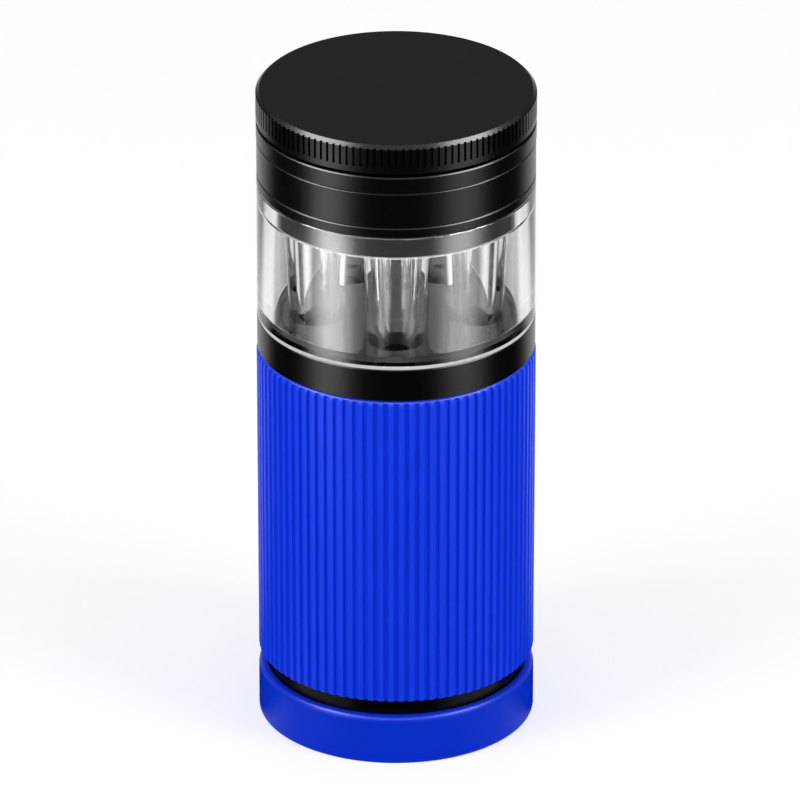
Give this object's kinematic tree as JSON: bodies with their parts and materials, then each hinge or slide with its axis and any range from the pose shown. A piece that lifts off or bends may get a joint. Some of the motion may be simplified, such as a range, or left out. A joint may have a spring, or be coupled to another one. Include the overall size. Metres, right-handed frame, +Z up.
{
  "type": "cone-filling herb grinder",
  "caption": "Tall round hand grinder with a knurled black lid, a clear funnel section that fills paper cones, a ribbed blue grip sleeve on a black tube and a blue screw-on base cap.",
  "frame": {"origin": "centre of the base cap's underside", "axes": "+Z up along the grinder's axis, -Y towards the front, where one funnel faces"},
  "size_m": [0.0636, 0.0636, 0.1552],
  "materials": {
    "black_aluminium": "black satin anodised",
    "bare_aluminium": "turned",
    "steel": "bright",
    "magnet_nickel": "nickel plated",
    "clear_acrylic": "clear, polished",
    "blue_silicone": "matte moulded",
    "blue_plastic": "satin moulded",
    "rack_plastic": "matte moulded",
    "seal_rubber": "matte",
    "white_nylon": "smooth"
  },
  "bodies": {
    "tube": {"tube_body": "black_aluminium", "grip_sleeve": "blue_silicone", "cone_rack_lower": "rack_plastic", "cone_rack_upper": "rack_plastic", "rack_post": "bare_aluminium", "rack_screws": "steel", "index_pins": "steel"},
    "base_washer": {"base_gasket": "seal_rubber"},
    "base": {"base_cap": "blue_plastic"},
    "funnel_section": {"clear_window": "clear_acrylic", "window_floor": "clear_acrylic", "funnel_1": "clear_acrylic", "funnel_2": "clear_acrylic", "funnel_3": "clear_acrylic", "funnel_4": "clear_acrylic", "funnel_5": "clear_acrylic", "hopper_cup": "rack_plastic", "window_seal": "seal_rubber", "retainer_ring": "black_aluminium", "threaded_collar": "black_aluminium"},
    "plate_washer": {"plate_seal": "seal_rubber"},
    "plate": {"grinding_plate": "black_aluminium", "plate_teeth": "black_aluminium", "plate_magnet": "magnet_nickel"},
    "lid_washer": {"lid_glide_ring": "white_nylon"},
    "lid": {"grinder_lid": "black_aluminium", "lid_teeth": "black_aluminium", "lid_magnet": "magnet_nickel"}
  },
  "joints": [
    {"name": "funnel_lift", "type": "slide", "parent": "tube", "child": "funnel_section", "axis": [0, 0, 1], "range_m": [0, 0.045]},
    {"name": "plate_rise", "type": "slide", "parent": "funnel_section", "child": "plate_washer", "axis": [0, 0, 1], "range_m": [0, 0.0041]},
    {"name": "plate_turn", "type": "hinge", "parent": "plate_washer", "child": "plate", "pos_m": [0, 0, 0.14345], "axis": [0, 0, 1], "range_deg": [0, 720]},
    {"name": "lid_lift", "type": "slide", "parent": "plate", "child": "lid_washer", "axis": [0, 0, 1], "range_m": [0, 0.03]},
    {"name": "lid_spin", "type": "hinge", "parent": "lid_washer", "child": "lid", "pos_m": [0, 0, 0.1527], "axis": [0, 0, 1], "continuous": true},
    {"name": "base_drop", "type": "slide", "parent": "tube", "child": "base_washer", "axis": [0, 0, -1], "range_m": [0, 0.0041]},
    {"name": "base_turn", "type": "hinge", "parent": "base_washer", "child": "base", "pos_m": [0, 0, 0.004], "axis": [0, 0, -1], "range_deg": [0, 720]}
  ],
  "couplings": [
    {"joint": "plate_rise", "follows": "plate_turn", "m_per_rad": 0.00031831},
    {"joint": "base_drop", "follows": "base_turn", "m_per_rad": 0.00031831}
  ]
}
